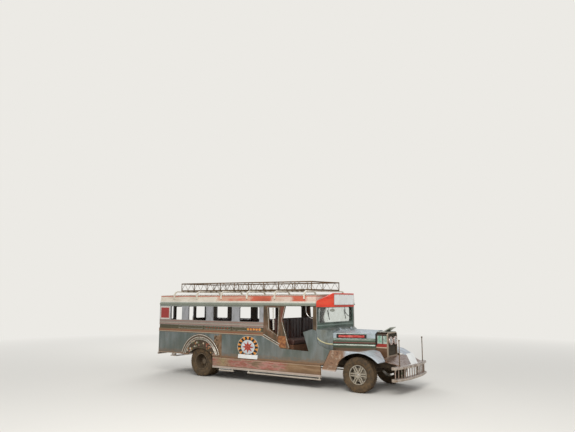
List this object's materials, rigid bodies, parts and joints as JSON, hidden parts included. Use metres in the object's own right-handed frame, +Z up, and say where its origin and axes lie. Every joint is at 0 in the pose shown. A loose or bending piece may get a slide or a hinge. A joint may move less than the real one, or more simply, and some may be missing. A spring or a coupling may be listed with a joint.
{
  "type": "passenger jeepney",
  "caption": "Long-bodied open-sided jeepney with twin rear wheels, bench seats, hinged hood and a roof rack.",
  "frame": {"origin": "on the ground, in the middle of the vehicle's length and width", "axes": "+X towards the front, +Y to the vehicle's left, +Z up"},
  "size_m": [6.6998, 1.83, 2.2499],
  "materials": {
    "alloy": "dusty cast alloy",
    "black_plastic": "moulded",
    "body_paint": "faded and dusty",
    "bumper_metal": "tarnished",
    "chrome": "polished",
    "cream_tube": "cream enamel",
    "dark_paint": "dark green",
    "dust_steel": "dusty",
    "fender_paint": "dusty metallic",
    "floor_plate": "worn tread plate",
    "frame_paint": "dusty black",
    "glass": "clear",
    "hood_metal": "polished stainless sheet",
    "lens": "ribbed",
    "pillar_paint": "worn red-brown",
    "plate_white": "blank enamel",
    "plywood": "painted board",
    "rack_metal": "rusted",
    "red_lens": "moulded",
    "roof_paint": "chalky cream",
    "sign_red": "gloss red",
    "stainless": "brushed stainless sheet",
    "steel_wheel": "dusty painted steel",
    "tyre": "dusty",
    "vinyl": "padded vinyl",
    "window_metal": "silver paint"
  },
  "bodies": {
    "vehicle": {"bench_backs": "vinyl", "bench_boxes": "plywood", "bench_cushions": "vinyl", "bumper": "bumper_metal", "bumper_bars": "bumper_metal", "chassis_frame": "frame_paint", "corner_poles": "rack_metal", "cowl": "hood_metal", "dashboard": "dark_paint", "destination_board": "sign_red", "door_pillars": "pillar_paint", "engine_block": "dust_steel", "exhaust": "dust_steel", "floor": "floor_plate", "front_axle": "dust_steel", "front_backrest": "vinyl", "front_fenders": "fender_paint", "front_seat": "vinyl", "front_seat_box": "plywood", "fuel_tank": "frame_paint", "grab_rails": "chrome", "grille_shell": "chrome", "headlamp_lenses": "lens", "headlamps": "chrome", "hood_sides": "dark_paint", "leaf_springs": "dust_steel", "licence_plate": "plate_white", "propeller_shaft": "dust_steel", "rack_slats": "rack_metal", "radiator": "black_plastic", "rear_axle": "dust_steel", "rear_step": "bumper_metal", "rear_wall": "window_metal", "roof": "roof_paint", "roof_hoops": "cream_tube", "roof_rack": "rack_metal", "side_panel_left": "stainless", "side_panel_right": "stainless", "side_skirts": "body_paint", "steering_column": "dust_steel", "tail_lamps": "red_lens", "window_frame_left": "window_metal", "window_frame_right": "window_metal", "windshield_frame": "dark_paint", "windshield_glass": "glass"},
    "front_wheel_spin_left": {"front_tyre_left": "tyre", "front_wheel_left": "alloy"},
    "front_wheel_spin_right": {"front_tyre_right": "tyre", "front_wheel_right": "alloy"},
    "rear_wheel_pair_left": {"rear_tyres_left": "tyre", "rear_wheels_left": "steel_wheel"},
    "rear_wheel_pair_right": {"rear_tyres_right": "tyre", "rear_wheels_right": "steel_wheel"},
    "knuckle_left_body": {"knuckle_left": "dust_steel"},
    "knuckle_right_body": {"knuckle_right": "dust_steel"},
    "tie_rod_body": {"tie_rod": "dust_steel"},
    "steering_wheel_body": {"steering_wheel": "black_plastic"},
    "hood_body": {"hood": "hood_metal"}
  },
  "joints": [
    {"name": "steer_left", "type": "hinge", "parent": "vehicle", "child": "knuckle_left_body", "pos_m": [2.45, 0.61, 0.35], "axis": [0, 0, 1], "range_deg": [-30, 30]},
    {"name": "steer_right", "type": "hinge", "parent": "vehicle", "child": "knuckle_right_body", "pos_m": [2.45, -0.61, 0.35], "axis": [0, 0, 1], "range_deg": [-30, 30]},
    {"name": "tie_rod_pivot", "type": "hinge", "parent": "knuckle_left_body", "child": "tie_rod_body", "pos_m": [2.27, 0.61, 0.269], "axis": [0, 0, 1], "range_deg": [-30, 30]},
    {"name": "steering_wheel_turn", "type": "hinge", "parent": "vehicle", "child": "steering_wheel_body", "pos_m": [1.05, 0.42, 1.11], "axis": [-0.8419, 0, 0.5397], "range_deg": [-480, 480]},
    {"name": "front_wheel_left_turn", "type": "hinge", "parent": "knuckle_left_body", "child": "front_wheel_spin_left", "pos_m": [2.45, 0.75, 0.35], "axis": [0, 1, 0], "continuous": true},
    {"name": "front_wheel_right_turn", "type": "hinge", "parent": "knuckle_right_body", "child": "front_wheel_spin_right", "pos_m": [2.45, -0.75, 0.35], "axis": [0, 1, 0], "continuous": true},
    {"name": "rear_wheels_left_turn", "type": "hinge", "parent": "vehicle", "child": "rear_wheel_pair_left", "pos_m": [-1.792, 0.65, 0.35], "axis": [0, 1, 0], "continuous": true},
    {"name": "rear_wheels_right_turn", "type": "hinge", "parent": "vehicle", "child": "rear_wheel_pair_right", "pos_m": [-1.792, -0.65, 0.35], "axis": [0, 1, 0], "continuous": true},
    {"name": "hood_hinge", "type": "hinge", "parent": "vehicle", "child": "hood_body", "pos_m": [1.724, 0, 1.222], "axis": [0, -1, 0], "range_deg": [0, 55]}
  ],
  "couplings": [
    {"joint": "steer_right", "follows": "steer_left", "ratio": 1},
    {"joint": "tie_rod_pivot", "follows": "steer_left", "ratio": -1},
    {"joint": "steering_wheel_turn", "follows": "steer_left", "ratio": 16}
  ]
}
